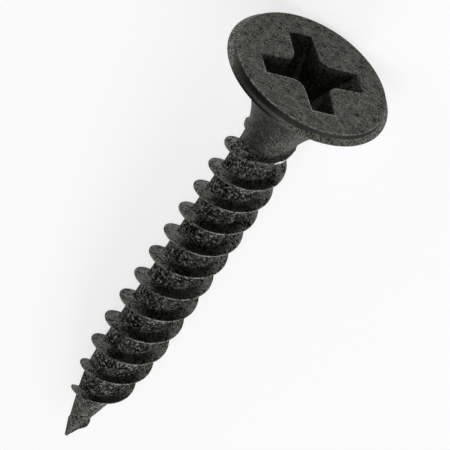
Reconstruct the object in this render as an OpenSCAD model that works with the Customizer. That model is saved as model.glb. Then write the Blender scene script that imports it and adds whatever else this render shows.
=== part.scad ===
// A drywall screw: bugle head with a cross recess, two-start fine thread and a pinched point,
// one piece of hardened steel with a dark phosphate finish.
// It is drawn lying on its side, as it comes to rest on a flat surface: the edge of the head
// and one thread crest near the point touch the surface.
// X runs along the screw with the head towards +X, Z is up, and the origin is the middle of
// the footprint, on the surface.

/* [Overall] */
// Length from the flat face of the head to the point
length = 24.9; // [22:0.05:35]
// Turn of the screw about its own axis as it lies
roll = -90; // [-180:1:180]

/* [Head] */
// Diameter of the head at the edge of its rim
head_d = 8.35; // [8.2:0.05:9.5]
// Diameter of the raised face, below its rounded shoulder
face_d = 7.84; // [7:0.02:7.9]
// Radius of the shoulder round the flat face
shoulder_r = 0.12; // [0.08:0.01:0.2]
// Depth below the face at which the thin ledge of the rim starts
step_depth = 0.28; // [0.22:0.01:0.34]
// Depth of the widest circle of the rim below the face
rim_depth = 0.45; // [0.42:0.01:0.6]
// Radius of the rounded edge of the rim
rim_edge_r = 0.08; // [0.04:0.01:0.1]
// Depth below the face at which the bugle curve runs into the root of the thread
bugle_depth = 5.25; // [4.5:0.05:7]

/* [Cross recess] */
// Distance across the recess, from the end of one wing to the end of the opposite one
recess_span = 5.11; // [4:0.01:5.6]
// Width of each wing at its outer end, on the face
wing_w = 1.18; // [0.8:0.01:1.4]
// Angle by which each side of a wing opens towards the middle, in degrees
wing_flare = 2.5; // [0:0.5:5]
// Radius of the rounded corner between two wings
lobe_r = 0.6; // [0.2:0.05:0.8]
// Depth of the recess
recess_depth = 2.6; // [1.5:0.05:2.8]
// Lean of the end wall of each wing towards the middle, in degrees
wing_lean = 30; // [20:1:32]
// Diameter of the hole in the middle of the recess, at its floor
recess_floor_d = 1.7; // [1:0.05:2]
// Turn of the recess about the screw's axis
recess_turn = 33.9; // [0:0.1:90]

/* [Thread] */
// Diameter over the thread crests
thread_d = 3.39; // [3.2:0.01:4]
// Diameter of the root between the threads
root_d = 2.2; // [2:0.01:2.6]
// Distance between neighbouring crests; with two starts each one climbs twice this in a turn
crest_spacing = 1.5; // [1.3:0.01:1.8]
// Width of the crest
crest_w = 0.07; // [0.04:0.01:0.15]
// Lean of the flank that faces the head, from square to the axis
upper_flank = 22; // [10:1:30]
// Lean of the flank that faces the point, from square to the axis
lower_flank = 25; // [10:1:30]
// Angle about the axis at which a crest reaches the height of the face, if it ran on that far
thread_phase = 337; // [0:0.5:360]

/* [Thread ends] */
// Depth below the face above which the crests are cut down towards the neck
runout_depth = 6.2; // [5.5:0.1:8]
// How fast the cut crests fall towards the head, in mm for each mm of length
runout_slope = 0.15; // [0.1:0.005:0.3]
// Distance from the point at which the crests begin to fall towards it
crest_taper_len = 6.35; // [4:0.05:8]
// How fast they fall there, in mm for each mm of length
crest_taper = 0.105; // [0.1:0.005:0.2]
// Distance from the point at which the first thread start rises from the shank
first_start = 1.45; // [1.3:0.05:4]
// Distance that the second start rises later
start_stagger = 1; // [0:0.1:1.5]
// Length along the axis over which a start rises to its full height
start_rise = 2; // [0.3:0.05:2.5]

/* [Point] */
// Half angle of the point, in degrees
point_half_angle = 13.8; // [12:0.1:20]
// How far the sides of the point stand out from a straight cone, half-way up
point_bulge = 0.025; // [0:0.005:0.1]
// Length over which the shank rounds into the point
point_blend = 0.25; // [0:0.05:0.6]
// Diameter of the blunt end of the point
point_d = 0.17; // [0.06:0.005:0.3]
// Thickness of the pinched fin beside the point
fin_t = 0.2; // [0.1:0.01:0.4]
// Reach of the fin from the axis
fin_reach = 0.61; // [0.5:0.01:0.8]
// Distance of the lower end of the fin's outer edge from the point
fin_from_point = 0.96; // [0.8:0.01:1.4]
// Length of the fin's outer edge
fin_edge = 0.5; // [0.2:0.01:0.8]
// How far the fin's sloping lower edge stands out from the cone
fin_web = 0.07; // [0.05:0.01:0.15]
// Reach of the lower fin on the other side of the point
back_fin_reach = 0.39; // [0.3:0.01:0.5]

/* [Hidden] */

black_steel = [0.23, 0.235, 0.22];
head_r = head_d / 2;
face_r = face_d / 2;
root_r = root_d / 2;
thread_r = thread_d / 2;
point_r = point_d / 2;

// Length of the point, up to where it is as thick as the root
point_len = (root_r - point_r) / tan(point_half_angle);

// The rim's rounded edge, its lower side, and the arc of the bugle that leaves it
rim_r = head_r - rim_edge_r;
under_z = -rim_depth - rim_edge_r;
bugle_r = (pow(rim_r - root_r, 2) + pow(bugle_depth + under_z, 2)) / (2 * (rim_r - root_r));

// The threaded skin runs from the neck, where no crest shows, down to the plain cone of the point.
// Its ends sit just inside the head and round the cone
neck_z = -bugle_depth * 2 / 3;
plug_h = 0.3 * root_r;
plug_r = 0.7 * root_r;
skin_end_z = -length + 0.8 * first_start;
seam_gap = 0.004;

// The skin is a grid: columns round the axis, and five rows along it for each crest
columns = 48;
rows_per_crest = 5;
starts = 2;
lead = starts * crest_spacing;
least_foot = 0.02;
crest_z0 = -lead * thread_phase / 360;
crests_below = ceil((crest_z0 - skin_end_z + lead) / crest_spacing) + 1;
lowest_crest_z = crest_z0 - crest_spacing * crests_below;
crest_count = ceil((neck_z - lowest_crest_z) / crest_spacing) + 1;
rows = rows_per_crest * crest_count;

// The recess ends in a short cone below its wings, and its cutter stands out above the face
recess_tip_d = recess_floor_d / 4;
recess_tip_h = recess_floor_d / 6;
clear_of_face = 1;
overlap = 0.01;

// Radius of the screw's body without its thread, at height z below the face
function core_radius(z) =
    z > -bugle_depth + bugle_r ? root_r + bugle_r
    : z > -bugle_depth ? root_r + bugle_r - sqrt(pow(bugle_r, 2) - pow(z + bugle_depth, 2))
    : let (
        up = (z + length) / point_len,
        cone = point_r + (root_r - point_r) * up + 4 * point_bulge * up * (1 - up),
        near = max(0, point_blend - abs(cone - root_r))
    ) min(root_r, cone) - (point_blend > 0 ? near * near / (4 * point_blend) : 0);

// Smooth step from 0 to 1
function eased(t) = let (s = max(0, min(1, t))) s * s * (3 - 2 * s);

// Share of its height that a thread start has reached, counted up from the point
function risen(z, crest) =
    eased((z + length - first_start - ((crest + 1) % starts) * start_stagger) / start_rise);

// Height over the body of a ridge with a sharp crest
function sharp_height(z, crest) = let (
        fall = crest_taper * max(0, crest_taper_len - length - z)
    ) max(0, thread_r - fall - core_radius(z)) * risen(z, crest);

// Height over the body of the same ridge where the run-out may have cut it down
function ridge_height(z, crest) = let (
        limit = thread_r - runout_slope * max(0, z + runout_depth) - core_radius(z)
    ) max(0, min(sharp_height(z, crest), limit));

// Height on the axis of a crest, counted from the lowest one, at a column
function crest_z(column, crest) = lowest_crest_z + lead * column / columns + crest * crest_spacing;

// One point of the skin as [radius, z]. The rows of each crest are the middle of the root below
// it, the foot of its lower flank, the two edges of the crest and the foot of its upper flank
function skin_section(column, row) = let (
        crest = floor(row / rows_per_crest),
        place = row % rows_per_crest,
        z = crest_z(column, crest),
        h = ridge_height(z, crest),
        cut = sharp_height(z, crest) - h,
        crest_below = crest_w / 2 + cut * tan(lower_flank),
        crest_above = crest_w / 2 + cut * tan(upper_flank),
        foot_below = crest_below + max(least_foot, h * tan(lower_flank)),
        foot_above = crest_above + max(least_foot, h * tan(upper_flank)),
        at = z + [-crest_spacing / 2, -foot_below, -crest_below, crest_above, foot_above][place],
        on_crest = place == 2 || place == 3
    ) [core_radius(at) + (on_crest ? h : 0), at];

function round_point(r, column, z) = let (a = 360 * column / columns) [r * cos(a), r * sin(a), z];

// Points: the ring at the lower end, the ring at the neck, the plug inside the head, then the grid
function skin_points() = [
    for (c = [0 : columns - 1]) round_point(core_radius(skin_end_z), c, skin_end_z),
    for (c = [0 : columns - 1]) round_point(core_radius(neck_z) - seam_gap, c, neck_z),
    for (c = [0 : columns - 1]) round_point(plug_r, c, neck_z + plug_h),
    for (c = [0 : columns - 1]) for (row = [0 : rows - 1])
        let (s = skin_section(c, row)) round_point(s[0], c, s[1])
];

// Number of a grid point, or of the end ring that it would lie beyond
function skin_vertex(column, row) = let (z = skin_section(column, row)[1])
    z <= skin_end_z + least_foot ? column
    : z >= neck_z - least_foot ? columns + column
    : 3 * columns + column * rows + row;

// The two triangles of a grid cell, without those that have shrunk to nothing at an end
function cell_faces(a, b, c, d) = [
    if (a != b && b != c && c != a) [a, b, c],
    if (a != c && c != d && d != a) [a, c, d]
];

// A cell joins its column to the next one. Past the last column the grid meets its first column
// again, one lead higher
function skin_cells() = let (climb = starts * rows_per_crest) [
    for (c = [0 : columns - 2]) for (row = [0 : rows - 2])
        each cell_faces(skin_vertex(c, row), skin_vertex(c, row + 1),
                        skin_vertex(c + 1, row + 1), skin_vertex(c + 1, row)),
    for (row = [0 : rows - 2 - climb])
        each cell_faces(skin_vertex(columns - 1, row), skin_vertex(columns - 1, row + 1),
                        skin_vertex(0, row + 1 + climb), skin_vertex(0, row + climb))
];

function plug_faces() = [
    for (c = [0 : columns - 1]) let (n = (c + 1) % columns)
        each cell_faces(columns + c, 2 * columns + c, 2 * columns + n, columns + n)
];

module threaded_shank() {
    polyhedron(
        points = skin_points(),
        faces = concat(
            skin_cells(),
            plug_faces(),
            [[for (c = [0 : columns - 1]) c]],
            [[for (c = [columns - 1 : -1 : 0]) 2 * columns + c]]
        ),
        convexity = 10
    );
}

// Half section of the head: flat face, rounded shoulder, thin rim and bugle curve down to the neck
module head_section() {
    difference() {
        union() {
            polygon([
                [0, 0],
                [face_r - shoulder_r, 0],
                [face_r, -shoulder_r],
                [face_r, -step_depth],
                [rim_r, -rim_depth + rim_edge_r],
                [rim_r, under_z],
                [core_radius(neck_z), neck_z],
                [0, neck_z]
            ]);
            translate([face_r - shoulder_r, -shoulder_r]) circle(r = shoulder_r, $fn = 48);
            translate([rim_r, -rim_depth]) circle(r = rim_edge_r, $fn = 32);
        }
        translate([root_r + bugle_r, -bugle_depth]) circle(r = bugle_r, $fn = 160);
    }
}

// Outline of the recess on the face. The side of a wing opens at its flare until it meets the
// rounded corner, which ends on the line through its centre
module cross_outline() {
    half_span = recess_span / 2;
    end_half = wing_w / 2;
    flare = tan(wing_flare);
    root_half = (end_half + (half_span - lobe_r) * flare) / (1 + flare);
    corner = root_half + lobe_r;
    difference() {
        union() {
            for (turn = [0, 90])
                rotate(turn)
                    polygon([
                        [-half_span, -end_half], [-corner, -root_half],
                        [corner, -root_half], [half_span, -end_half],
                        [half_span, end_half], [corner, root_half],
                        [-corner, root_half], [-half_span, end_half]
                    ]);
            for (turn = [0 : 90 : 270])
                rotate(turn) square(corner);
        }
        for (turn = [0 : 90 : 270])
            rotate(turn) translate([corner, corner]) circle(r = lobe_r, $fn = 48);
    }
}

// Block with two sloping sides, which trims a pair of opposite wings to their end walls
module wing_wedge() {
    half_top = recess_span / 2;
    half_floor = half_top - recess_depth * tan(wing_lean);
    rotate([90, 0, 0])
        linear_extrude(height = 2 * recess_span, center = true)
            polygon([
                [-half_top, 0],
                [-half_floor, -recess_depth],
                [half_floor, -recess_depth],
                [half_top, 0],
                [half_top, clear_of_face],
                [-half_top, clear_of_face]
            ]);
}

module cross_recess() {
    rotate(recess_turn) {
        intersection() {
            translate([0, 0, -recess_depth])
                linear_extrude(height = recess_depth + clear_of_face)
                    cross_outline();
            wing_wedge();
            rotate(90) wing_wedge();
        }
        translate([0, 0, -recess_depth - recess_tip_h])
            cylinder(d1 = recess_tip_d, d2 = recess_floor_d, h = recess_tip_h + overlap, $fn = 48);
    }
}

module head() {
    difference() {
        rotate_extrude($fn = 96) head_section();
        cross_recess();
    }
}

// Body of the point. Its upper part lies inside the threaded shank
module point() {
    steps = 4;
    inside_r = 0.8 * core_radius(skin_end_z);
    inside_z = skin_end_z + plug_h;
    rotate_extrude($fn = 48)
        polygon([
            [0, -length],
            [point_r, -length],
            for (step = [1 : steps])
                let (share = step / steps, z = -length + share * (skin_end_z + length))
                    [core_radius(z) - share * seam_gap, z],
            [inside_r, inside_z],
            [0, inside_z]
        ]);
}

// Thin fin that the pinching dies leave beside the point, and the lower one opposite it
module point_fin() {
    foot_z = -length + fin_from_point;
    edge_z = foot_z + fin_edge;
    top_z = edge_z + fin_edge / 5;
    slope_z = -length + 0.7 * fin_from_point;
    end_z = -length + 0.3 * fin_from_point;
    chamfer = 0.05 * fin_reach;
    rotate([90, 0, 0])
        linear_extrude(height = fin_t, center = true)
            polygon([
                [core_radius(top_z) - seam_gap, top_z],
                [fin_reach - chamfer, edge_z],
                [fin_reach, foot_z + fin_edge / 3],
                [fin_reach - 2 * chamfer, foot_z],
                [core_radius(slope_z) + fin_web, slope_z],
                [core_radius(end_z) + fin_web / 4, end_z],
                [-core_radius(end_z), end_z],
                [-back_fin_reach, foot_z],
                [-core_radius(edge_z) + seam_gap, edge_z]
            ]);
}

// The screw point down, with the middle of its flat face at the origin
module screw_upright() {
    head();
    threaded_shank();
    point();
    point_fin();
}

// Lying down, it touches the surface with the edge of its head and with one crest: the one in
// the half near the point that allows the smallest tilt
down_column = columns * ((-roll % 360 + 360) % 360) / 360;
near_point = [
    for (crest = [0 : crest_count - 1])
        let (z = crest_z(down_column, crest)) if (z > -length && z < -length / 2) crest
];
function tilt_onto(crest) = let (
        z = crest_z(down_column, crest),
        r = core_radius(z) + ridge_height(z, crest)
    ) atan((head_r - r) / (-rim_depth - z));
lay_tilt = min([for (crest = near_point) tilt_onto(crest)]);

// Extremes of the tilted screw, which place the middle of its footprint at the origin
far_x = (face_r - shoulder_r) * sin(lay_tilt) + shoulder_r * (1 - cos(lay_tilt));
near_x = -length * cos(lay_tilt) - point_r * sin(lay_tilt);
low_z = -rim_r * cos(lay_tilt) - rim_depth * sin(lay_tilt) - rim_edge_r;

module screw() {
    color(black_steel)
        translate([-(far_x + near_x) / 2, 0, -low_z])
            rotate([0, 90 - lay_tilt, 0])
                rotate(roll)
                    screw_upright();
}

screw();
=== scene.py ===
"""A drywall screw lying on a pale floor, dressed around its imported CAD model.

The screw is drawn point down, in millimetres, with the middle of its flat face at the origin,
and is then laid on its side where the CAD model lies.
"""

from math import asin, atan, atan2, ceil, cos, degrees, hypot, pi, radians, sin, sqrt, tan

import bmesh
import bpy
from mathutils import Matrix, Vector


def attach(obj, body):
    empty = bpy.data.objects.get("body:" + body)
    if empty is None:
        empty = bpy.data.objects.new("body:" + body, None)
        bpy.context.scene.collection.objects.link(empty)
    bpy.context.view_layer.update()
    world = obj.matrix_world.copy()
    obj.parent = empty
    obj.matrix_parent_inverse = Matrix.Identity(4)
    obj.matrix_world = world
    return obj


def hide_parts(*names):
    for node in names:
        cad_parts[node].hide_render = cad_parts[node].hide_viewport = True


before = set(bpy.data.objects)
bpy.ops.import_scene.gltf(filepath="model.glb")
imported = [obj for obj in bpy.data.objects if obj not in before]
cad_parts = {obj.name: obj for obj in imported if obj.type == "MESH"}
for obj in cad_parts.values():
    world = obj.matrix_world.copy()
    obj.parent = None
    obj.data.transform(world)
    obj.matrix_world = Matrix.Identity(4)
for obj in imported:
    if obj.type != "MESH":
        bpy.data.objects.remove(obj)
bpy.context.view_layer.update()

MM = 0.001

# Sizes of the screw, in mm and degrees
LENGTH = 24.9
ROLL = -90

# Head
HEAD_D = 8.35
FACE_D = 7.84
SHOULDER_R = 0.12
STEP_DEPTH = 0.28
RIM_DEPTH = 0.45
RIM_EDGE_R = 0.08
BUGLE_DEPTH = 5.25

# Cross recess
RECESS_SPAN = 5.11
WING_W = 1.18
WING_FLARE = 2.5
LOBE_R = 0.6
RECESS_DEPTH = 2.6
WING_LEAN = 30
RECESS_FLOOR_D = 1.7
RECESS_TURN = 33.9
RECESS_BEVEL = 0.05

# Thread
THREAD_D = 3.39
ROOT_D = 2.2
CREST_SPACING = 1.5
CREST_W = 0.07
UPPER_FLANK = 22
LOWER_FLANK = 25
THREAD_PHASE = 337
STARTS = 2
RUNOUT_DEPTH = 6.2
RUNOUT_SLOPE = 0.15
CREST_TAPER_LEN = 6.35
CREST_TAPER = 0.105
FIRST_START = 1.45
START_STAGGER = 1.0
START_RISE = 2.0

# Point and the fins that its pinching leaves
POINT_HALF_ANGLE = 13.8
POINT_BULGE = 0.025
POINT_BLEND = 0.25
POINT_D = 0.17
FIN_T = 0.2
FIN_REACH = 0.61
FIN_FROM_POINT = 0.96
FIN_EDGE = 0.5
FIN_WEB = 0.07
BACK_FIN_REACH = 0.39

# Fine forms of the thread: rounded edges and feet, nicks, and the torn edge of the run-out
CREST_EDGE_R = 0.02
CUT_EDGE_R = 0.06
CUT_BLEND = 0.1
FOOT_R = 0.05
LOW_RIDGE = 0.3
NICK_DEPTH = 0.012
NICK_SCALE = 5.0
TORN_DEPTH = 0.15
TORN_START_Z = -5.6
TORN_BLEND = 0.6

# Raised lip round the recess
LIP_W = 0.08
LIP_TOP_W = 0.02
LIP_H = 0.012
LIP_BACK_H = 0.01

# Worked out from the sizes above
HEAD_R = HEAD_D / 2
FACE_R = FACE_D / 2
ROOT_R = ROOT_D / 2
THREAD_R = THREAD_D / 2
POINT_R = POINT_D / 2
LEAD = STARTS * CREST_SPACING
RIM_R = HEAD_R - RIM_EDGE_R
UNDER_Z = -RIM_DEPTH - RIM_EDGE_R
BUGLE_RISE = BUGLE_DEPTH + UNDER_Z
BUGLE_R = ((RIM_R - ROOT_R) ** 2 + BUGLE_RISE ** 2) / (2 * (RIM_R - ROOT_R))
NECK_Z = -BUGLE_DEPTH * 2 / 3
SKIN_END_Z = -LENGTH + 0.8 * FIRST_START
POINT_LEN = (ROOT_R - POINT_R) / tan(radians(POINT_HALF_ANGLE))
FIN_TOP = FIN_FROM_POINT + 1.2 * FIN_EDGE

# The mesh: columns round the axis, and rows along each part of one thread ridge
COLUMNS = 144
ROOT_ROWS = 6
FLANK_ROWS = 6
CREST_ROWS = 4
ROWS_PER_CREST = 2 * ROOT_ROWS + 2 * FLANK_ROWS + CREST_ROWS
END_MARGIN = 0.02
CREST_Z0 = -LEAD * THREAD_PHASE / 360
CRESTS_BELOW = ceil((CREST_Z0 - SKIN_END_Z + LEAD) / CREST_SPACING) + 1
LOWEST_CREST_Z = CREST_Z0 - CREST_SPACING * CRESTS_BELOW
CREST_COUNT = ceil((NECK_Z - LOWEST_CREST_Z) / CREST_SPACING) + 1

# The mesh: rows of the head, the recess and the point, and points along one wing of the recess
BUGLE_ROWS = 34
RIM_ROWS = 10
SHOULDER_ROWS = 12
WALL_ROWS = 12
POINT_ROWS = 56
WING_END_POINTS = 6
WING_SIDE_POINTS = 14
LOBE_POINTS = 14

# Edges sharper than this many degrees aren't smoothed
SHARP_ANGLE = 50

# Points closer than these gaps merge: along the thread's seam, and where two parts meet
SEAM_GAP = 0.0005
JOIN_GAP = 0.0008


def core_radius(z):
    """Radius of the screw's body without its thread, at height z below the face."""
    if z > -BUGLE_DEPTH:
        return ROOT_R + BUGLE_R - sqrt(BUGLE_R ** 2 - (z + BUGLE_DEPTH) ** 2)
    up = (z + LENGTH) / POINT_LEN
    cone = POINT_R + (ROOT_R - POINT_R) * up + 4 * POINT_BULGE * up * (1 - up)
    near = max(0, POINT_BLEND - abs(cone - ROOT_R))
    return min(ROOT_R, cone) - near ** 2 / (4 * POINT_BLEND)


def eased(t):
    """0 to 1, with a slow start and end."""
    s = max(0, min(1, t))
    return s * s * (3 - 2 * s)


def between(z, points):
    """Straight lines through (z, value) points, in rising order."""
    for (z0, v0), (z1, v1) in zip(points, points[1:]):
        if z <= z1:
            return v0 + (v1 - v0) * max(0, z - z0) / (z1 - z0)
    return points[-1][1]


# How the screw lies: the edge of its head and one crest near the point touch the floor


def crest_reach(crest):
    """Height and radius of a crest on the side that lies down."""
    z = LOWEST_CREST_Z + LEAD * ((-ROLL) % 360) / 360 + crest * CREST_SPACING
    later = (crest + 1) % STARTS * START_STAGGER
    risen = eased((z + LENGTH - FIRST_START - later) / START_RISE)
    full = THREAD_R - CREST_TAPER * max(0, CREST_TAPER_LEN - LENGTH - z)
    return z, core_radius(z) + max(0, full - core_radius(z)) * risen


def lying_tilt():
    """Angle of the screw's axis to the floor."""
    tilts = []
    for crest in range(CREST_COUNT):
        z, r = crest_reach(crest)
        if -LENGTH < z < -LENGTH / 2:
            tilts.append(atan((HEAD_R - r) / (-RIM_DEPTH - z)))
    return min(tilts)


def lay_down():
    """Matrix from the screw point down, in mm, to where it lies, in metres."""
    tilt = lying_tilt()
    far_x = (FACE_R - SHOULDER_R) * sin(tilt) + SHOULDER_R * (1 - cos(tilt))
    near_x = -LENGTH * cos(tilt) - POINT_R * sin(tilt)
    low_z = -RIM_R * cos(tilt) - RIM_DEPTH * sin(tilt) - RIM_EDGE_R
    place = Matrix.Translation((-(far_x + near_x) / 2, 0, -low_z))
    turn = Matrix.Rotation(pi / 2 - tilt, 4, "Y") @ Matrix.Rotation(radians(ROLL), 4, "Z")
    return Matrix.Scale(MM, 4) @ place @ turn


class Value:
    """A node's output that can stand in an expression; each operation adds one Math node."""

    def __init__(self, graph, socket):
        self.graph = graph
        self.socket = socket

    def math(self, operation, *values):
        return self.graph.add(self.graph.math_kind, {"operation": operation}, enumerate(values))

    def __add__(self, other):
        return self.math("ADD", self, other)

    def __radd__(self, other):
        return self.math("ADD", other, self)

    def __sub__(self, other):
        return self.math("SUBTRACT", self, other)

    def __rsub__(self, other):
        return self.math("SUBTRACT", other, self)

    def __mul__(self, other):
        return self.math("MULTIPLY", self, other)

    def __rmul__(self, other):
        return self.math("MULTIPLY", other, self)

    def __truediv__(self, other):
        return self.math("DIVIDE", self, other)

    def __rtruediv__(self, other):
        return self.math("DIVIDE", other, self)

    def __neg__(self):
        return self.math("MULTIPLY", self, -1)

    def __mod__(self, other):
        return self.math("FLOORED_MODULO", self, other)

    def above(self, other):
        return self.math("GREATER_THAN", self, other)

    def below(self, other):
        return self.math("LESS_THAN", self, other)

    def least(self, other):
        """The larger of the two."""
        return self.math("MAXIMUM", self, other)

    def most(self, other):
        """The smaller of the two."""
        return self.math("MINIMUM", self, other)

    def root(self):
        return self.math("SQRT", self)

    def size(self):
        return self.math("ABSOLUTE", self)

    def floor(self):
        return self.math("FLOOR", self)

    def rounded(self):
        return self.math("ROUND", self)

    def sine(self):
        return self.math("SINE", self)

    def cosine(self):
        return self.math("COSINE", self)

    def tangent(self):
        return self.math("TANGENT", self)

    def clamped(self):
        return self.least(0).most(1)

    def eased(self):
        s = self.clamped()
        return s * s * (3 - 2 * s)


class Graph:
    """Adds nodes to a node tree."""

    math_kind = "ShaderNodeMath"

    def __init__(self, tree):
        self.tree = tree

    def add(self, kind, settings=None, inputs=(), output=0):
        """Makes a node, sets its settings first and then its sockets, and gives one output."""
        node = self.tree.nodes.new(kind)
        for name, setting in (settings or {}).items():
            setattr(node, name, setting)
        for name, value in dict(inputs).items():
            if isinstance(value, Value):
                self.tree.links.new(value.socket, node.inputs[name])
            else:
                node.inputs[name].default_value = value
        if not node.outputs:
            return None
        return Value(self, node.outputs[output])

    def outputs(self, value):
        """All outputs of the node that a value comes from, by name."""
        node = value.socket.node
        return {socket.name: Value(self, socket) for socket in node.outputs}


# The threaded shank, made by Geometry Nodes


def thread_sizes():
    """The named inputs of the thread's node tree and their values, in mm and radians."""
    return {
        "Columns": COLUMNS,
        "Crests": CREST_COUNT,
        "Root radius": ROOT_R,
        "Thread radius": THREAD_R,
        "Crest spacing": CREST_SPACING,
        "Lead": LEAD,
        "Crest width": CREST_W,
        "Upper flank": radians(UPPER_FLANK),
        "Lower flank": radians(LOWER_FLANK),
        "Lowest crest": LOWEST_CREST_Z,
        "Neck": NECK_Z,
        "Skin end": SKIN_END_Z,
        "Nick depth": NICK_DEPTH,
        "Torn depth": TORN_DEPTH,
    }


def add_sockets(tree, sizes):
    """An input for each size and for the material, and an output for the mesh."""
    for name, value in sizes.items():
        kind = "NodeSocketInt" if isinstance(value, int) else "NodeSocketFloat"
        tree.interface.new_socket(name, in_out="INPUT", socket_type=kind)
    tree.interface.new_socket("Material", in_out="INPUT", socket_type="NodeSocketMaterial")
    tree.interface.new_socket("Geometry", in_out="OUTPUT", socket_type="NodeSocketGeometry")


def body_radius(z, size):
    """core_radius as nodes."""
    above_bugle = (z + BUGLE_DEPTH).least(0)
    bugle = BUGLE_R - (BUGLE_R ** 2 - above_bugle * above_bugle).root()
    up = (z + LENGTH) / POINT_LEN
    cone = POINT_R + (size["Root radius"] - POINT_R) * up + 4 * POINT_BULGE * up * (1 - up)
    near = (POINT_BLEND - (cone - size["Root radius"]).size()).least(0)
    return cone.most(size["Root radius"]) - near * near / (4 * POINT_BLEND) + bugle


def sharp_height(z, crest, size):
    """Height over the body of a ridge with a sharp crest."""
    fall = CREST_TAPER * (CREST_TAPER_LEN - LENGTH - z).least(0)
    later = ((crest + 1) % STARTS) * START_STAGGER
    risen = ((z + LENGTH - FIRST_START - later) / START_RISE).eased()
    return (size["Thread radius"] - fall - body_radius(z, size)).least(0) * risen


def crest_limit(z, size):
    """Height over the body to which the run-out cuts the ridges down."""
    fall = RUNOUT_SLOPE * (z + RUNOUT_DEPTH).least(0)
    return (size["Thread radius"] - fall - body_radius(z, size)).least(0)


def rounded_least(value, other, rounding):
    """The larger of two values, with the corner between them rounded."""
    apart = value - other
    return (value + other + (apart * apart + rounding * rounding).root()) / 2


def ridge_height(offset, sharp, height, size):
    """Height over the body at an offset from the crest, with rounded edges and feet."""
    beside = rounded_least(offset.size() - size["Crest width"] / 2, 0, CREST_EDGE_R)
    upper = offset.above(0)
    flank = size["Upper flank"].tangent() * upper + size["Lower flank"].tangent() * (1 - upper)
    side = sharp - beside / flank
    cut_round = CUT_EDGE_R * ((sharp - height) / CUT_BLEND).clamped()
    under_cut = -rounded_least(-side, -height, cut_round)
    foot_round = FOOT_R * (height / LOW_RIDGE).clamped()
    return rounded_least(under_cut, 0, foot_round)


def flat_grid(graph, size):
    """A flat grid, with the column and the row of its points."""
    rows = size["Crests"] * ROWS_PER_CREST
    grid = graph.add("GeometryNodeMeshGrid", {}, {
        "Size X": size["Columns"], "Size Y": rows - 1,
        "Vertices X": size["Columns"] + 1, "Vertices Y": rows})
    position = graph.add("GeometryNodeInputPosition")
    place = graph.outputs(graph.add("ShaderNodeSeparateXYZ", {}, {0: position}))
    column = (place["X"] + size["Columns"] / 2).rounded()
    row = (place["Y"] + (rows - 1) / 2).rounded()
    return grid, column, row


def row_offset(step, sharp, height, size):
    """Offsets from the crest of a row and of the upper foot; rows crowd towards feet and edges."""
    reach = size["Crest spacing"] / 2
    half = size["Crest width"] / 2
    upper = size["Upper flank"].tangent()
    lower = size["Lower flank"].tangent()
    edge_below = half + (sharp - height) * lower
    edge_above = half + (sharp - height) * upper
    foot_below = edge_below + (height * lower).least(END_MARGIN)
    foot_above = edge_above + (height * upper).least(END_MARGIN)
    start = 0
    offset = -reach
    for count, extent in ((ROOT_ROWS, reach - foot_below),
                          (FLANK_ROWS, foot_below - edge_below),
                          (CREST_ROWS, edge_below + edge_above),
                          (FLANK_ROWS, foot_above - edge_above),
                          (ROOT_ROWS, reach - foot_above)):
        offset = offset + extent * ((step - start) / count).eased()
        start += count
    return offset, foot_above


def crest_nicks(graph, angle, crest_z, lift, size):
    """How far a crest is nicked, deeper where the run-out is torn."""
    ring_place = graph.add("ShaderNodeCombineXYZ", {}, {
        0: angle.cosine(), 1: angle.sine(), 2: crest_z})
    wave = graph.add("ShaderNodeTexNoise", {}, {
        "Vector": ring_place, "Scale": NICK_SCALE, "Detail": 3.0})
    tearing = ((crest_z - TORN_START_Z) / TORN_BLEND).clamped()
    depth = size["Nick depth"] * (1 + size["Torn depth"] / size["Nick depth"] * tearing)
    return depth * (wave - 1) * (lift / LOW_RIDGE).clamped()


def folded(z, size):
    """Rows beyond an end of the skin fold into its ring; also gives 1 for the rows between."""
    over_neck = z.above(size["Neck"] - END_MARGIN)
    under_end = z.below(size["Skin end"] + END_MARGIN)
    shown = 1 - over_neck - under_end
    return z * shown + size["Neck"] * over_neck + size["Skin end"] * under_end, shown


def ridge_marks(offset, lift, height, foot_above, shown):
    """Attributes that the steel reads: lift, upper side, nearness to the crest and to the foot."""
    tiny = 0.001
    line_in = 0.02
    line_w = 0.05
    return {
        "ridge": lift * shown,
        "upper": offset.above(0) * shown,
        "crest": (lift / (height + tiny)).clamped() * (height / LOW_RIDGE).clamped() * shown,
        "foot": 1 - ((offset - foot_above + line_in).size() / line_w).clamped(),
    }


def with_marks(graph, geometry, marks):
    """Stores each mark on the points, before they are moved."""
    for name, value in marks.items():
        geometry = graph.add("GeometryNodeStoreNamedAttribute",
                             {"data_type": "FLOAT", "domain": "POINT"},
                             {"Geometry": geometry, "Name": name, "Value": value})
    return geometry


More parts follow.
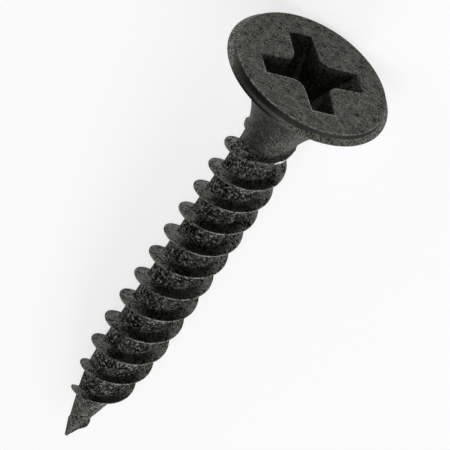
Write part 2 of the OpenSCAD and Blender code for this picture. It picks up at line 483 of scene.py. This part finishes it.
def thread_tree():
    """A grid wrapped round the axis as one helix: its last column meets its first a lead higher."""
    tree = bpy.data.node_groups.new("Thread", "GeometryNodeTree")
    add_sockets(tree, thread_sizes())
    graph = Graph(tree)
    size = graph.outputs(graph.add("NodeGroupInput"))

    grid, column, row = flat_grid(graph, size)
    crest = ((row + 0.5) / ROWS_PER_CREST).floor()
    angle = column * (2 * pi) / size["Columns"]
    crest_z = (size["Lowest crest"] + size["Lead"] * column / size["Columns"]
               + crest * size["Crest spacing"])
    sharp = sharp_height(crest_z, crest, size)
    height = sharp.most(crest_limit(crest_z, size))
    offset, foot_above = row_offset(row - crest * ROWS_PER_CREST, sharp, height, size)
    lift = ridge_height(offset, sharp, height, size)
    nick = crest_nicks(graph, angle, crest_z, lift, size)
    z, shown = folded(crest_z + offset, size)
    radius = body_radius(z, size) + (lift + nick) * shown
    point = graph.add("ShaderNodeCombineXYZ", {}, {
        0: radius * angle.cosine(), 1: radius * angle.sine(), 2: z})

    marked = with_marks(graph, grid, ridge_marks(offset, lift, height, foot_above, shown))
    wrapped = graph.add("GeometryNodeSetPosition", {}, {"Geometry": marked, "Position": point})
    joined = graph.add("GeometryNodeMergeByDistance", {}, {"Geometry": wrapped, "Distance": SEAM_GAP})
    real = graph.add("GeometryNodeRealizeInstances", {}, {"Geometry": joined})
    dressed = graph.add("GeometryNodeSetMaterial", {}, {
        "Geometry": real, "Material": size["Material"]})
    graph.add("NodeGroupOutput", {}, {0: dressed})
    return tree


def threaded_shank(material):
    """The skin from the neck to the plain cone, as a mesh."""
    holder = bpy.data.objects.new("thread", bpy.data.meshes.new("thread"))
    bpy.context.scene.collection.objects.link(holder)
    modifier = holder.modifiers.new("Thread", "NODES")
    modifier.node_group = thread_tree()
    values = dict(thread_sizes(), Material=material)
    for item in modifier.node_group.interface.items_tree:
        if item.in_out == "INPUT":
            modifier[item.identifier] = values[item.name]
    depsgraph = bpy.context.evaluated_depsgraph_get()
    mesh = bpy.data.meshes.new_from_object(holder.evaluated_get(depsgraph))
    holder.modifiers.remove(modifier)
    bpy.data.objects.remove(holder)
    return mesh


# Head, recess and point, as rings of points joined by quads


def ring(bm, radius, z):
    """A ring of points round the axis."""
    turns = [2 * pi * c / COLUMNS for c in range(COLUMNS)]
    return [bm.verts.new((radius * cos(a), radius * sin(a), z)) for a in turns]


def bridge(bm, lower, upper):
    """Quads between two closed rings of as many points; the faces look to the right of lower."""
    count = len(lower)
    for i in range(count):
        j = (i + 1) % count
        bm.faces.new((lower[i], lower[j], upper[j], upper[i]))


def bridge_all(bm, rings):
    """Quads between each ring and the next."""
    for lower, upper in zip(rings, rings[1:]):
        bridge(bm, lower, upper)


def arc(centre_r, centre_z, radius, start, end, count):
    """Points (r, z) on an arc, from start to end degrees."""
    angles = [radians(start + (end - start) * i / count) for i in range(count + 1)]
    return [(centre_r + radius * cos(a), centre_z + radius * sin(a)) for a in angles]


def head_profile():
    """Half section of the head, from the neck up to the flat of the face, as (r, z)."""
    rim_start = -85
    corner = 0.05
    low = 180 - degrees(asin((NECK_Z + BUGLE_DEPTH) / BUGLE_R))
    high = 180 - degrees(asin(BUGLE_RISE / BUGLE_R))
    bugle = arc(ROOT_R + BUGLE_R, -BUGLE_DEPTH, BUGLE_R, low, high, BUGLE_ROWS)
    rim = arc(RIM_R, -RIM_DEPTH, RIM_EDGE_R, rim_start, 90, RIM_ROWS)
    ledge = [(FACE_R + corner, -STEP_DEPTH - 0.4 * corner),
             (FACE_R + 0.2 * corner, -STEP_DEPTH + 0.2 * corner)]
    shoulder = arc(FACE_R - SHOULDER_R, -SHOULDER_R, SHOULDER_R, 0, 90, SHOULDER_ROWS)
    flat = [(FACE_R - SHOULDER_R - corner, 0)]
    return bugle + rim + ledge + shoulder + flat


def corner_half():
    """Half width of a wing where it meets its rounded corner."""
    slope = tan(radians(WING_FLARE))
    return (WING_W / 2 + (RECESS_SPAN / 2 - LOBE_R) * slope) / (1 + slope)


def turned(x, y, degrees_round):
    """A point turned round the axis."""
    a = radians(degrees_round)
    return x * cos(a) - y * sin(a), x * sin(a) + y * cos(a)


def wing_outline(out):
    """Outline of one wing and the rounded corner after it, moved out by a distance."""
    root = corner_half()
    corner = root + LOBE_R
    span = RECESS_SPAN / 2 + out
    end_half = WING_W / 2 + out
    points = []
    for i in range(WING_END_POINTS):
        points.append((span, -end_half + 2 * end_half * i / WING_END_POINTS))
    for i in range(WING_SIDE_POINTS):
        t = i / WING_SIDE_POINTS
        points.append((span + (corner - span) * t, end_half + (root + out - end_half) * t))
    for i in range(LOBE_POINTS):
        a = radians(-90 - 90 * i / LOBE_POINTS)
        points.append((corner + (LOBE_R - out) * cos(a), corner + (LOBE_R - out) * sin(a)))
    for i in range(WING_SIDE_POINTS):
        t = 1 - i / WING_SIDE_POINTS
        points.append((end_half + (root + out - end_half) * t, span + (corner - span) * t))
    return points


def recess_loop(bm, out, limit, z):
    """Outline of the recess, moved out by a distance and cut to within a limit each way."""
    verts = []
    for wing in range(4):
        for x, y in wing_outline(out):
            x = max(-limit, min(limit, x))
            y = max(-limit, min(limit, y))
            verts.append(bm.verts.new((*turned(x, y, RECESS_TURN + 90 * wing), z)))
    return verts


def fill_between(bm, outer, inner):
    """Flat triangles between two loops in one plane."""
    edges = []
    for loop in (outer, inner):
        for a, b in zip(loop, loop[1:] + loop[:1]):
            edges.append(bm.edges.get((a, b)) or bm.edges.new((a, b)))
    bmesh.ops.triangle_fill(bm, edges=edges, use_beauty=True)


def lip_loops(bm):
    """Loops of the raised lip and of the bevel inside it."""
    uncut = 2 * RECESS_SPAN
    loops = [recess_loop(bm, RECESS_BEVEL + LIP_W, uncut, 0),
             recess_loop(bm, RECESS_BEVEL + LIP_TOP_W, uncut, LIP_H),
             recess_loop(bm, RECESS_BEVEL, uncut, LIP_BACK_H)]
    for bevel_turn in (30, 60, 90):
        a = radians(bevel_turn)
        loops.append(recess_loop(bm, RECESS_BEVEL * (1 - sin(a)), uncut, -RECESS_BEVEL * (1 - cos(a))))
    return loops


def wall_loops(bm):
    """Loops down the walls of the recess, whose wings end in leaning walls."""
    loops = []
    for i in range(1, WALL_ROWS + 1):
        drop = (RECESS_DEPTH - RECESS_BEVEL) * i / WALL_ROWS
        limit = RECESS_SPAN / 2 - drop * tan(radians(WING_LEAN))
        loops.append(recess_loop(bm, 0, limit, -RECESS_BEVEL - drop))
    return loops


def mark_recess(bm, outside, loops):
    """Stores each point's depth under the face, and how far the lip there faces -y, which sets a
    painted highlight along that side of the lip.
    """
    lip = bm.verts.layers.float["lip"]
    depth = bm.verts.layers.float["depth"]
    for loop in loops[:3]:
        for vert, beyond in zip(loop, outside):
            outward = beyond.co.xy - vert.co.xy
            # Painted highlight: only the side of the lip that faces -y gets this mark.
            vert[lip] = max(0, -outward.y / outward.length)
    for loop in loops:
        for vert in loop:
            vert[depth] = -vert.co.z


def make_head(bm):
    """The head with its recess, from the neck's ring up."""
    head_rings = [ring(bm, r, z) for r, z in head_profile()]
    bridge_all(bm, head_rings)
    loops = lip_loops(bm) + wall_loops(bm)
    fill_between(bm, head_rings[-1], loops[0])
    bridge_all(bm, loops)
    floor_r = RECESS_FLOOR_D / 2
    floor = ring(bm, floor_r, -RECESS_DEPTH)
    fill_between(bm, loops[-1], floor)
    dimple = ring(bm, floor_r / 4, -RECESS_DEPTH - floor_r / 3)
    bridge(bm, floor, dimple)
    bm.faces.new(dimple)
    mark_recess(bm, loops[0], loops[1:] + [floor, dimple])


def make_point(bm):
    """The plain cone below the thread."""
    rings = []
    for i in range(POINT_ROWS + 1):
        z = -LENGTH + (SKIN_END_Z + LENGTH) * i / POINT_ROWS
        rings.append(ring(bm, core_radius(z), z))
    bridge_all(bm, rings)
    bm.faces.new(rings[0])


def front_fin():
    """Reach of the fin beside the point, as (height, reach) points."""
    end = 0.3 * FIN_FROM_POINT
    slope = 0.7 * FIN_FROM_POINT
    chamfer = 0.05 * FIN_REACH
    return [(end, core_radius(end - LENGTH) + FIN_WEB / 4),
            (slope, core_radius(slope - LENGTH) + FIN_WEB),
            (FIN_FROM_POINT, FIN_REACH - 2 * chamfer),
            (FIN_FROM_POINT + FIN_EDGE / 3, FIN_REACH),
            (FIN_FROM_POINT + FIN_EDGE, FIN_REACH - chamfer),
            (FIN_TOP, 0)]


def back_fin():
    """Reach of the lower fin opposite it, as (height, reach) points."""
    end = 0.3 * FIN_FROM_POINT
    return [(end, core_radius(end - LENGTH)),
            (FIN_FROM_POINT, BACK_FIN_REACH),
            (FIN_FROM_POINT + FIN_EDGE, 0)]


def fin_radius(z, angle):
    """Radius at an angle of the plate that both fins form, or 0 where it has none."""
    height = z + LENGTH
    fin = front_fin() if cos(angle) > 0 else back_fin()
    reach = between(height, fin) if fin[0][0] < height < FIN_TOP else 0
    if reach == 0:
        return 0
    squareness = 6
    along = (abs(cos(angle)) / reach) ** squareness
    across = (abs(sin(angle)) / (FIN_T / 2)) ** squareness
    return (along + across) ** (-1 / squareness)


def pinch_point(bm):
    """Pushes the fins out of the point."""
    for vert in bm.verts:
        radius = hypot(vert.co.x, vert.co.y)
        if vert.co.z < -LENGTH + FIN_TOP and radius > 0:
            fin = fin_radius(vert.co.z, atan2(vert.co.y, vert.co.x))
            grown = max(radius, fin) / radius
            vert.co.x *= grown
            vert.co.y *= grown


def make_screw(material):
    """The whole screw as one closed mesh, laid down in metres."""
    bm = bmesh.new()
    bm.from_mesh(threaded_shank(material))
    bm.verts.layers.float.new("lip")
    bm.verts.layers.float.new("depth")
    make_head(bm)
    make_point(bm)
    bmesh.ops.remove_doubles(bm, verts=bm.verts, dist=JOIN_GAP)
    pinch_point(bm)
    bmesh.ops.recalc_face_normals(bm, faces=bm.faces)
    bmesh.ops.transform(bm, matrix=lay_down(), verts=bm.verts)
    mesh = bpy.data.meshes.new("screw_finish")
    bm.to_mesh(mesh)
    bm.free()
    mesh.shade_smooth()
    mesh.set_sharp_from_angle(angle=radians(SHARP_ANGLE))
    screw = bpy.data.objects.new("screw_finish", mesh)
    bpy.context.scene.collection.objects.link(screw)
    mesh.materials.clear()
    mesh.materials.append(material)
    return screw


# Tools for the materials


def new_material(name):
    material = bpy.data.materials.new(name)
    material.use_nodes = True
    material.node_tree.nodes.clear()
    return material, Graph(material.node_tree)


def screw_place(graph):
    """Object coordinates turned back to the screw point down, in mm."""
    lay = lay_down()
    return graph.add("ShaderNodeMapping", {"vector_type": "TEXTURE"}, {
        "Vector": graph.outputs(graph.add("ShaderNodeTexCoord"))["Object"],
        "Location": lay.to_translation(), "Rotation": lay.to_euler(), "Scale": lay.to_scale()})


def speckle(graph, place, scale, detail=2.0, roughness=0.6):
    return graph.add("ShaderNodeTexNoise", {}, {
        "Vector": place, "Scale": scale, "Detail": detail, "Roughness": roughness})


def mixed_colour(graph, share, first, second):
    return graph.add("ShaderNodeMix", {"data_type": "RGBA"}, {
        "Factor": share, 6: first, 7: second}, 2)


def fade(value, start, width):
    """0 up to a start, rising to 1 over a width."""
    return ((value - start) / width).clamped()


def facing(turn, middle, inner, outer):
    """1 within inner degrees of a middle round the axis, fading to 0 at outer degrees."""
    start = cos(radians(outer))
    return fade((turn - radians(middle)).cosine(), start, cos(radians(inner)) - start)


def within(turn, middle, inner, outer):
    """As facing, but it fades evenly and doesn't cross 180 degrees."""
    away = (turn - radians(middle)).size()
    return ((radians(outer) - away) / radians(outer - inner)).clamped()


def speck_mask(noise, threshold, hardness):
    """Turns the peaks of a noise into separate specks."""
    return ((noise - threshold) * hardness).clamped()


def weighted(base, zones, weights):
    """A base value with what each zone adds to it."""
    total = base
    for name, weight in weights.items():
        total = total + zones[name] * weight
    return total


# Where the finish of the screw changes: depths under the face, radii, widths and lifts, in mm,
# shares of a ridge's height, and turns round the axis, in degrees

EDGE_LINE_W = 0.06
EDGE_LINE_IN = 0.05
RIM_FROM_R = 3.5
STEP_TOP = 0.04
STEP_MARGIN = 0.03
# How much further down the step's painted shade reaches in the middle of its dark side
STEP_SHADE_WIDENING = 0.24
HEAD_BOTTOM = 0.62
SHANK_TOP = 4.65
SHANK_BLEND = 0.25
FLANK_TOP = 4.7
WORN_CREST_TOP = 5.0
TOP_BLEND = 0.3
CONE_LEN = 3.1
CONE_BLEND = 0.6
ROOT_LIFT = 0.04
FLANK_LIFT = 0.05
FOOT_LIFT = 0.02
POINT_LIFT = 0.08
CREST_SHARE = 0.9
CREST_BLEND = 0.08
BURR_TOP = 4.61
BURR_W = 0.06
BURR_FROM_R = 1.2
BURR_TURN = -35
BURR_REACH = 15
RECESS_TOP = 0.03
RECESS_RIM_H = 0.26
RECESS_RIM_BLEND = 0.06
RECESS_RAGGED = 0.3


def rim_zones(under, radius, turn):
    """The worn edge of the face, the step under it, darkened as painted shade on one side of the head,
    and the ledge below that.
    """
    outer = radius.above(RIM_FROM_R)
    # Painted shade: the step is darkened only on one side of the head, widest in the middle of that
    # side.
    shade_widening = within(turn, middle=-114, inner=44 / 3, outer=44)
    painted_shade_side = within(turn, middle=-75, inner=70, outer=80)
    step_bottom = STEP_DEPTH - STEP_MARGIN
    step = (painted_shade_side * outer * under.above(STEP_TOP)
            * (step_bottom + STEP_SHADE_WIDENING * shade_widening - under).above(0))
    from_edge = (radius - (FACE_R - EDGE_LINE_IN)).size()
    return {
        "edge": under.below(EDGE_LINE_W) * (1 - (from_edge / EDGE_LINE_W).clamped()),
        "step": step,
        "step_shade": step * shade_widening,
        "ledge": outer * under.above(step_bottom) * under.below(HEAD_BOTTOM) * (1 - step),
    }


def thread_zones(under, mark):
    """The flanks, the roots between them, the worn crests and feet, and the plain point."""
    shank = fade(under, SHANK_TOP, SHANK_BLEND)
    cone = fade(under, LENGTH - CONE_LEN, CONE_BLEND)
    ridge = mark["ridge"]
    return {
        "shank": shank,
        "flank": ((ridge / FLANK_LIFT).clamped() * mark["upper"].above(0)
                  * fade(under, FLANK_TOP, TOP_BLEND)),
        "root": shank * (1 - (ridge / ROOT_LIFT).clamped()) * (1 - cone),
        "crest": (fade(mark["crest"], CREST_SHARE, CREST_BLEND)
                  * fade(under, WORN_CREST_TOP, TOP_BLEND)),
        "foot": mark["foot"] * shank * (ridge / FOOT_LIFT).clamped(),
        "point": cone * (1 - (ridge / POINT_LIFT).clamped()),
    }


def torn_burr_glint(under, radius, turn):
    """The short torn burr where the run-out of one ridge ends, painted near white as a highlight."""
    along = turn - radians(BURR_TURN)
    off_line = (under - BURR_TOP + along * (LEAD / (2 * pi))).size()
    share = (1.5 - off_line / BURR_W) * within(turn, BURR_TURN, 0, BURR_REACH)
    return (share * 3).clamped() * radius.above(BURR_FROM_R)


def screw_zones(graph, place):
    """Masks, 0 to 1, of the parts of the screw whose surface differs, and of where light and shade are
    painted on.
    """
    axes = graph.outputs(graph.add("ShaderNodeSeparateXYZ", {}, {0: place}))
    under = -axes["Z"]
    radius = (axes["X"] * axes["X"] + axes["Y"] * axes["Y"]).root()
    turn = graph.add("ShaderNodeMath", {"operation": "ARCTAN2"}, {0: axes["Y"], 1: axes["X"]})
    mark = {name: graph.outputs(graph.add("ShaderNodeAttribute", {"attribute_name": name}))["Fac"]
            for name in ("ridge", "upper", "crest", "foot", "lip", "depth")}
    zones = {"depth": mark["depth"], "lip": mark["lip"], "recess": mark["depth"].above(RECESS_TOP)}
    zones.update(rim_zones(under, radius, turn))
    zones.update(thread_zones(under, mark))
    above_shank = (1 - zones["shank"]) * (1 - zones["recess"])
    # Painted light: the left side of the flanks, the neck and the rim is made lighter, as if lit from
    # that side.
    zones["left"] = facing(turn, middle=-168, inner=18.2, outer=41.4)
    zones["neck"] = under.above(HEAD_BOTTOM) * above_shank
    zones["head_left_painted_light"] = zones["left"] * above_shank * under.above(STEP_TOP)
    # Painted highlight: a patch of the roots on one side round the axis is paler, with more specks.
    zones["root_painted_highlight"] = facing(turn, middle=-71, inner=14.1, outer=31.8) * zones["root"]
    # Painted shade: one wing of the recess is dark.
    zones["shaded"] = facing(turn, middle=130, inner=14.1, outer=24.1) * zones["recess"]
    # The burr is painted near white as a highlight.
    zones["burr"] = torn_burr_glint(under, radius, turn)
    zones["coarse"] = (zones["root"] + zones["point"] * 0.25).clamped()
    return zones


# What each zone adds to the share of pale crystals on the dark coat; the step's dark band is painted
# shade, and the root patch and the left of the head are painted light
CRYSTAL_COVER = {"root": -0.08, "root_painted_highlight": 0.16, "flank": 0.3, "neck": 0.04, "ledge": 0.04,
                 "point": 0.11, "step": -0.21, "step_shade": -0.12, "head_left_painted_light": 0.2}
# What each zone adds to how much that share varies from spot to spot
COVER_CONTRAST = {"coarse": 0.25, "flank": 1.9, "neck": -0.25, "step": -0.7, "point": 0.2,
                  "ledge": 0.2, "head_left_painted_light": 0.5}
# What each zone adds to the roughness
ROUGHER = {"flank": -0.14, "neck": -0.08}
# How worn each zone is; the lip's share is a painted highlight on the side of the lip that faces -y
WEAR = {"crest": 0.6, "foot": 0.2, "edge": 0.4, "lip": 0.55, "ledge": 0.12}

# Shine, roughness and relief of the coat
CRYSTAL_SHINE = 0.95
CRYSTAL_ROUGHNESS = 0.44
DULL_ROUGHNESS = 0.6
COAT_IOR = 1.75
RELIEF_H = 0.0003

# Colours of the coat and of the steel under it
DARK_COAT = (0.003, 0.0033, 0.0024, 1)
PIT_COAT = (0.004, 0.0042, 0.0032, 1)
GREY_CRYSTAL = (0.05, 0.051, 0.043, 1)
PALE_SPECK = (0.5, 0.5, 0.46, 1)
WORN_STEEL = (0.34, 0.34, 0.31, 1)
# Near white for the burr: bare steel with a painted highlight
BARE_STEEL_HIGHLIGHT = (0.9, 0.9, 0.88, 1)
RECESS_RIM = (0.11, 0.11, 0.097, 1)
RECESS_DEEP = (0.09, 0.09, 0.08, 1)
RECESS_SHADED = (0.012, 0.012, 0.011, 1)
COAT_TINT = (0.98, 1.0, 0.86, 1)


def phosphate_noises(graph, place):
    """Noises from fine crystals to large patches, and streaks drawn out across the face."""
    drawn = graph.add("ShaderNodeMapping", {}, {"Vector": place, "Scale": (0.3, 1.0, 1.0)})
    return {
        "fine": speckle(graph, place, 12.0),
        "grain": speckle(graph, place, 6.5),
        "mottle": speckle(graph, place, 3.2, roughness=0.5),
        "patch": speckle(graph, place, 1.3, detail=3.0),
        "streak": speckle(graph, drawn, 9.0),
    }


def coat_pits(noise, zones):
    """Small dark pits in the smooth parts of the coat."""
    smooth = weighted(1, zones, {"coarse": -1, "neck": -1, "flank": -1, "step": -1, "ledge": -1})
    return speck_mask(noise["streak"], threshold=0.58, hardness=14) * smooth.clamped()


def crystal_share(noise, zones, pits):
    """How far pale crystals cover each spot of the dark coat."""
    wave = ((noise["fine"] - 0.5) * 2.3 + (noise["grain"] - 0.5) * 2.2 * zones["coarse"]
            + (noise["mottle"] - 0.5) * 0.8 + (noise["patch"] - 0.5) * 1.1)
    cover = weighted(0.48, zones, CRYSTAL_COVER)
    contrast = weighted(0.72, zones, COVER_CONTRAST)
    flank_pits = speck_mask(noise["grain"], threshold=0.47, hardness=9) * zones["flank"]
    return (wave * contrast + cover - 0.45 * pits - 0.3 * flank_pits).clamped()


def pale_specks(noise, zones):
    """Single bright crystals, most of them between the ridges, with more in a painted highlight on one
    side of the roots.
    """
    specks = speck_mask(noise["grain"] + noise["fine"], threshold=1.1, hardness=9)
    density = weighted(0.08, zones, {"coarse": 0.82, "root_painted_highlight": 0.3})
    return specks * density * (1 - zones["flank"] - zones["step"]).clamped()


def worn_share(noise, zones):
    """How far the coat is worn off along crests, feet and edges, and torn off at the burr; the share
    on one side of the lip is a painted highlight.
    """
    chips = 0.3 + 0.7 * speck_mask(noise["fine"], threshold=0.42, hardness=6)
    return (weighted(0, zones, WEAR) * chips + zones["burr"]).clamped()


def coat_colour(graph, zones, share, specks, worn):
    """Grey crystals on the dark coat, with painted shade on the upper flanks that eases on the left as
    painted light, darker on the neck, with specks and wear, and the burr painted near white as a
    highlight.
    """
    # Painted shade: the upper flanks are made almost black, less so on the left as painted light.
    flank_painted_shade = 1 - 0.97 * zones["flank"] * (1 - 0.6 * zones["left"])
    neck_tone = 1 - 0.5 * zones["neck"] * (1 - zones["head_left_painted_light"])
    colour = mixed_colour(graph, share * flank_painted_shade * neck_tone, DARK_COAT, GREY_CRYSTAL)
    colour = mixed_colour(graph, specks, colour, PALE_SPECK)
    colour = mixed_colour(graph, worn, colour, WORN_STEEL)
    return mixed_colour(graph, zones["burr"], colour, BARE_STEEL_HIGHLIGHT)


def recess_colour(graph, noise, zones, share, colour):
    """The walls of the recess: greyer near the face, darker below, with painted shade in one wing."""
    ragged_depth = zones["depth"] + (noise["grain"] - 0.5) * RECESS_RAGGED
    rim = zones["recess"] * (1 - fade(ragged_depth, RECESS_RIM_H, RECESS_RIM_BLEND))
    deep = zones["recess"] * (1 - rim)
    colour = mixed_colour(graph, rim * (0.3 + share * 0.7), colour, RECESS_RIM)
    colour = mixed_colour(graph, deep, colour, RECESS_DEEP)
    return mixed_colour(graph, zones["shaded"], colour, RECESS_SHADED)


def coat_bump(graph, noise, zones, pits):
    """Relief of the crystals, coarser between the ridges and low on the flanks and the step."""
    grains = noise["fine"] * 0.45 + noise["grain"] * 0.55
    strength = (0.45 + 0.85 * zones["coarse"]) * (1 - 0.8 * zones["flank"] - 0.8 * zones["step"])
    return graph.add("ShaderNodeBump", {}, {
        "Strength": 1.0, "Distance": RELIEF_H, "Height": grains * strength - pits * 0.1})


def principled(graph, colour, roughness, normal, specular):
    return graph.add("ShaderNodeBsdfPrincipled", {}, {
        "Base Color": colour, "Roughness": roughness, "Metallic": 0.0, "Normal": normal,
        "IOR": COAT_IOR, "Specular IOR Level": specular, "Specular Tint": COAT_TINT}, "BSDF")


def phosphated_steel():
    """Matt black phosphate: shiny pale crystals over a dull dark coat, worn along the edges, with
    painted light, shade and highlights on some sides.
    """
    material, graph = new_material("phosphated_steel")
    place = screw_place(graph)
    zones = screw_zones(graph, place)
    noise = phosphate_noises(graph, place)
    pits = coat_pits(noise, zones)
    share = crystal_share(noise, zones, pits)
    specks = pale_specks(noise, zones)
    worn = worn_share(noise, zones)
    colour = coat_colour(graph, zones, share, specks, worn)
    colour = recess_colour(graph, noise, zones, share, colour)
    rough = CRYSTAL_ROUGHNESS + 0.3 * (noise["grain"] - 0.5) - 0.1 * worn
    rough = weighted(rough, zones, ROUGHER).clamped()
    bump = coat_bump(graph, noise, zones, pits)
    crystal = principled(graph, colour, rough, bump, CRYSTAL_SHINE)
    dull = principled(graph, PIT_COAT, DULL_ROUGHNESS, bump, 0.0)
    shown = (share + worn + specks).clamped()
    # Fewer pale crystals in the recess, and fewer still in its painted shade.
    shown = shown * (1 - 0.3 * zones["recess"]) * (1 - 0.7 * zones["shaded"])
    surface = graph.add("ShaderNodeMixShader", {}, {0: shown, 1: dull, 2: crystal})
    graph.add("ShaderNodeOutputMaterial", {}, {"Surface": surface})
    return material


def pale_floor():
    """Almost white to the camera and dim in reflections; part of it is light, so shadows show."""
    material, graph = new_material("pale_floor")
    path = graph.outputs(graph.add("ShaderNodeLightPath"))
    bounced = (0.9, 0.9, 0.9, 1)
    seen = (0.36, 0.36, 0.36, 1)
    paint = mixed_colour(graph, path["Is Camera Ray"], bounced, seen)
    lit = graph.add("ShaderNodeBsdfDiffuse", {}, {"Color": paint})
    glow = 0.74 * path["Is Camera Ray"] + 0.21 * path["Is Glossy Ray"]
    white = graph.add("ShaderNodeEmission", {}, {"Color": (1, 1, 1, 1), "Strength": glow})
    surface = graph.add("ShaderNodeAddShader", {}, {0: lit, 1: white})
    graph.add("ShaderNodeOutputMaterial", {}, {"Surface": surface})
    return material


# Stage, lights and camera, in metres


def make_floor():
    half = 1.5
    mesh = bpy.data.meshes.new("floor")
    mesh.from_pydata([(-half, -half, 0), (half, -half, 0), (half, half, 0), (-half, half, 0)],
                     [], [(0, 1, 2, 3)])
    mesh.materials.append(pale_floor())
    floor = bpy.data.objects.new("floor", mesh)
    bpy.context.scene.collection.objects.link(floor)


def make_world():
    """White to the camera, and almost dark to everything else."""
    world = bpy.data.worlds.new("studio")
    world.use_nodes = True
    world.node_tree.nodes.clear()
    graph = Graph(world.node_tree)
    path = graph.outputs(graph.add("ShaderNodeLightPath"))
    level = 0.02 + 0.98 * path["Is Camera Ray"]
    sky = graph.add("ShaderNodeBackground", {}, {"Color": (1, 1, 1, 1), "Strength": level})
    graph.add("ShaderNodeOutputWorld", {}, {"Surface": sky})
    bpy.context.scene.world = world


def softbox(name, position, size, power):
    """A square lamp that faces the screw."""
    lamp = bpy.data.lights.new(name, "AREA")
    lamp.shape = "SQUARE"
    lamp.size = size
    lamp.energy = power
    holder = bpy.data.objects.new(name, lamp)
    holder.location = position
    holder.rotation_euler = (-Vector(position)).to_track_quat("-Z", "Y").to_euler()
    holder.visible_camera = False
    bpy.context.scene.collection.objects.link(holder)


def make_camera():
    """A long lens above the screw, rolled so that its head is at the upper right."""
    aim = Vector((2.901, -0.607, 4.0)) * MM
    distance = 0.87
    elevation = radians(62.5522)
    bearing = radians(1.8343)
    roll = radians(147.9425)
    back = Vector((cos(elevation) * cos(bearing), cos(elevation) * sin(bearing), sin(elevation)))
    level_right = Vector((-sin(bearing), cos(bearing), 0))
    level_up = back.cross(level_right)
    up = level_up * cos(roll) + level_right * sin(roll)
    right = up.cross(back)
    place = aim + back * distance
    camera = bpy.data.objects.new("camera", bpy.data.cameras.new("camera"))
    camera.matrix_world = Matrix((
        (right.x, up.x, back.x, place.x),
        (right.y, up.y, back.y, place.y),
        (right.z, up.z, back.z, place.z),
        (0, 0, 0, 1)))
    camera.data.sensor_width = 36
    camera.data.lens = 1500.0
    camera.data.clip_end = 20
    bpy.context.scene.collection.objects.link(camera)
    bpy.context.scene.camera = camera


make_camera()
screw = make_screw(phosphated_steel())
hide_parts("screw")
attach(screw, "root")

make_floor()
make_world()
softbox("softbox_head", position=(0.6, 0.0, 0.08), size=0.14, power=1.6)
softbox("softbox_left", position=(0.0, 0.56, 0.2), size=0.3, power=0.34)
softbox("softbox_right", position=(0.0, -0.54, 0.25), size=0.3, power=0.65)
softbox("softbox_high_right", position=(0.0, -0.39, 0.46), size=0.3, power=0.35)
softbox("softbox_above", position=(0.0, 0.0, 0.6), size=0.3, power=0.95)
softbox("softbox_low_right", position=(-0.42, -0.42, 0.1), size=0.3, power=0.6)
softbox("softbox_point", position=(-0.46, -0.3, 0.24), size=0.2, power=1.05)

bpy.context.scene.view_settings.view_transform = "Standard"
